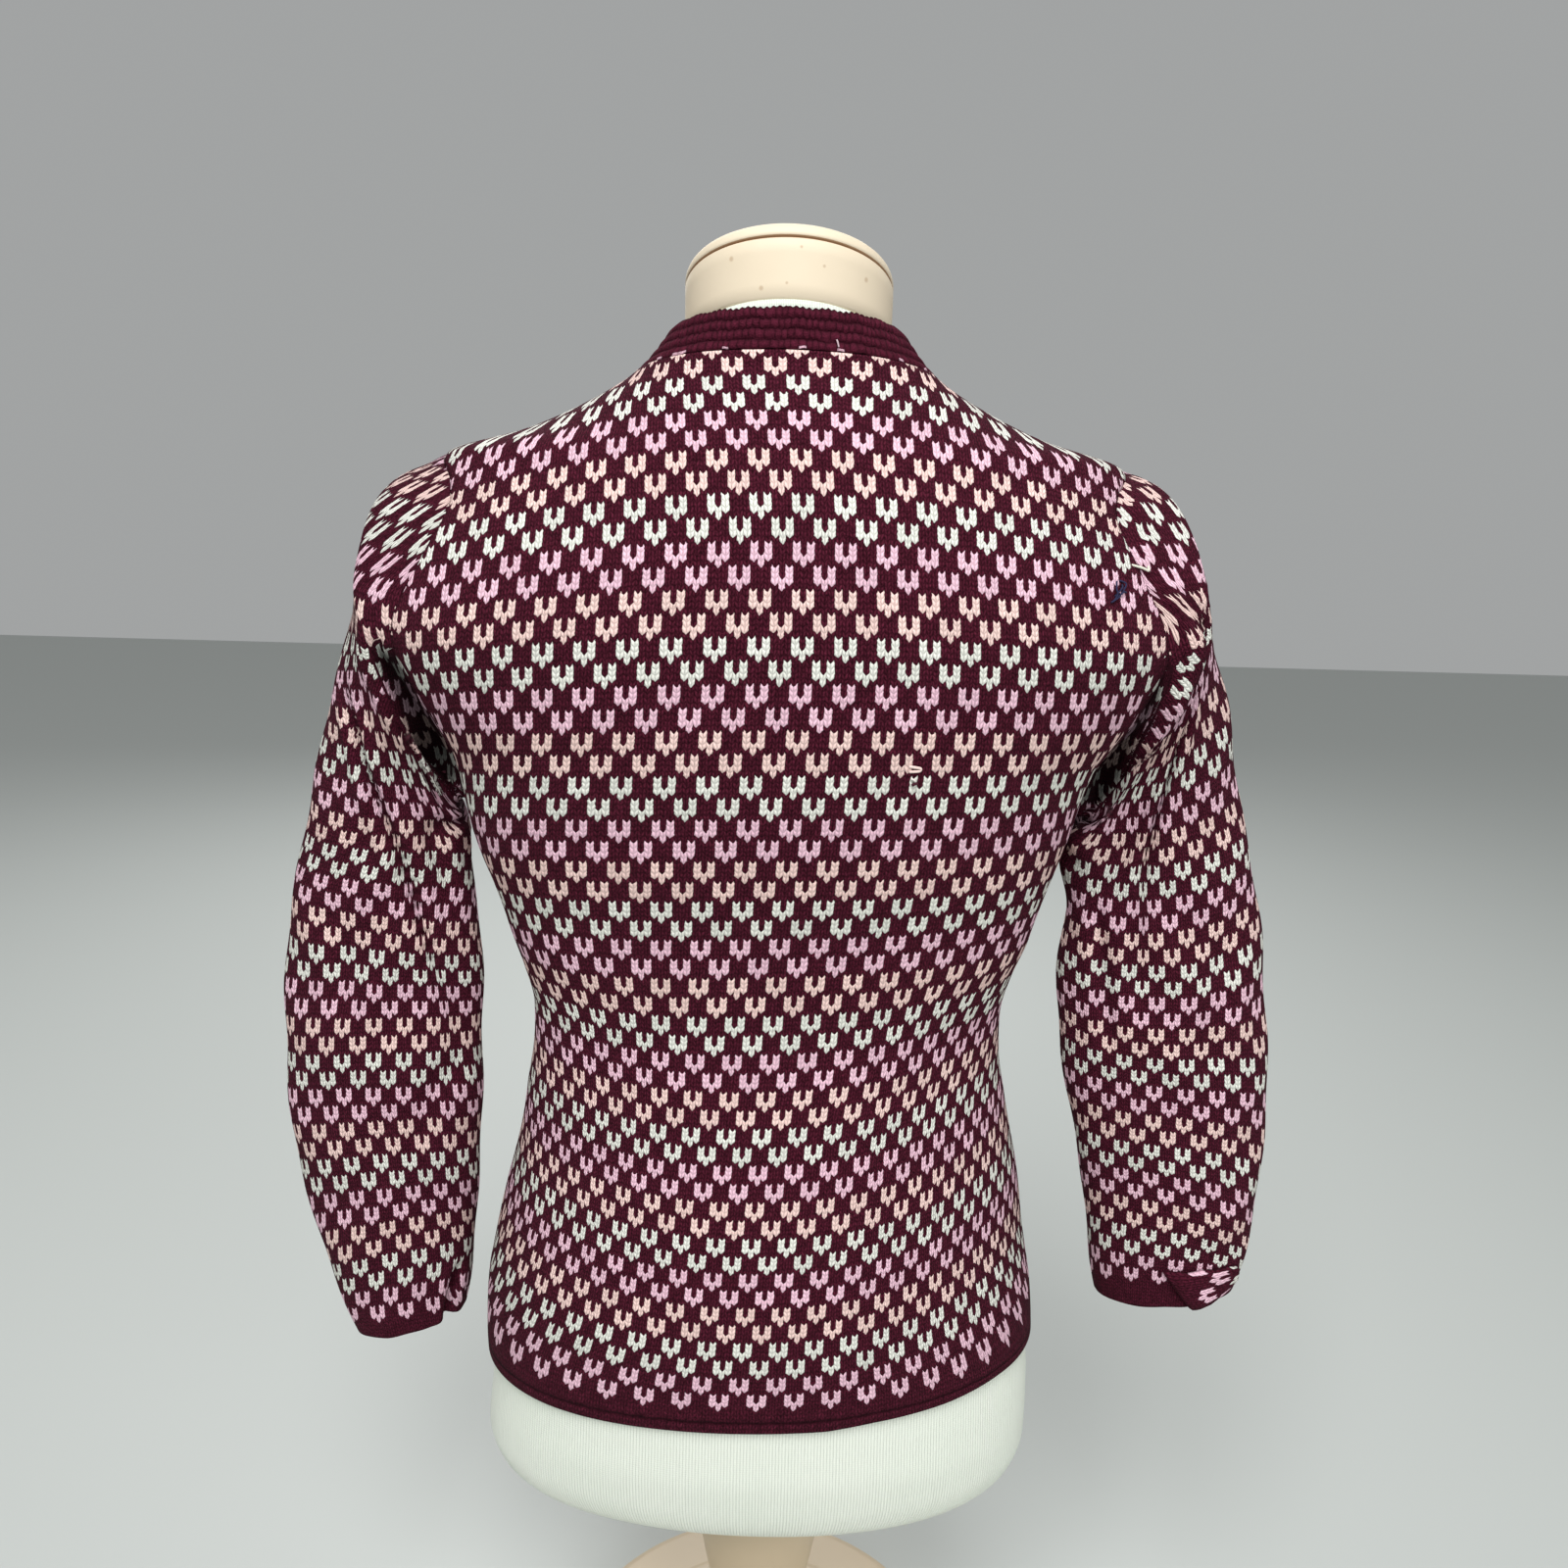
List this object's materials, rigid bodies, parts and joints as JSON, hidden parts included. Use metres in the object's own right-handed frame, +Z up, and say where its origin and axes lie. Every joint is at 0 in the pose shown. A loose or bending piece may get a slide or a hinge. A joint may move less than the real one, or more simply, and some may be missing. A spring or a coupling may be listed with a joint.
{
  "type": "cardigan on dress form",
  "caption": "Fitted long-sleeved knitted cardigan, closed by a buttoned front band, on a limbless dress form with a neck cap, post and round base.",
  "frame": {"origin": "centre of the round base's underside", "axes": "+Z up; the garment's front faces -Y and its back +Y; the wearer's left side is +X"},
  "size_m": [0.6125, 0.292, 0.9804],
  "materials": {
    "burgundy_knit": "matt wool knit, dark burgundy ground with small two-pronged motifs in peach, mint white and pink",
    "white_jersey": "fine ribbed jersey cover, off white",
    "cream_plastic": "satin cream plastic",
    "beige_plastic": "satin beige plastic",
    "burgundy_button": "plain dark burgundy buttons"
  },
  "bodies": {
    "root": {"back": "burgundy_knit", "left_front": "burgundy_knit", "right_front": "burgundy_knit", "left_sleeve": "burgundy_knit", "right_sleeve": "burgundy_knit", "neckband": "burgundy_knit", "left_button_band": "burgundy_knit", "right_button_band": "burgundy_knit", "form_torso": "white_jersey", "neck_cap": "cream_plastic", "neck_lid": "cream_plastic", "stand_post": "beige_plastic", "stand_base": "beige_plastic", "button_1": "burgundy_button", "button_2": "burgundy_button", "button_3": "burgundy_button", "button_4": "burgundy_button", "button_5": "burgundy_button", "button_6": "burgundy_button", "button_7": "burgundy_button", "button_8": "burgundy_button"}
  },
  "joints": []
}
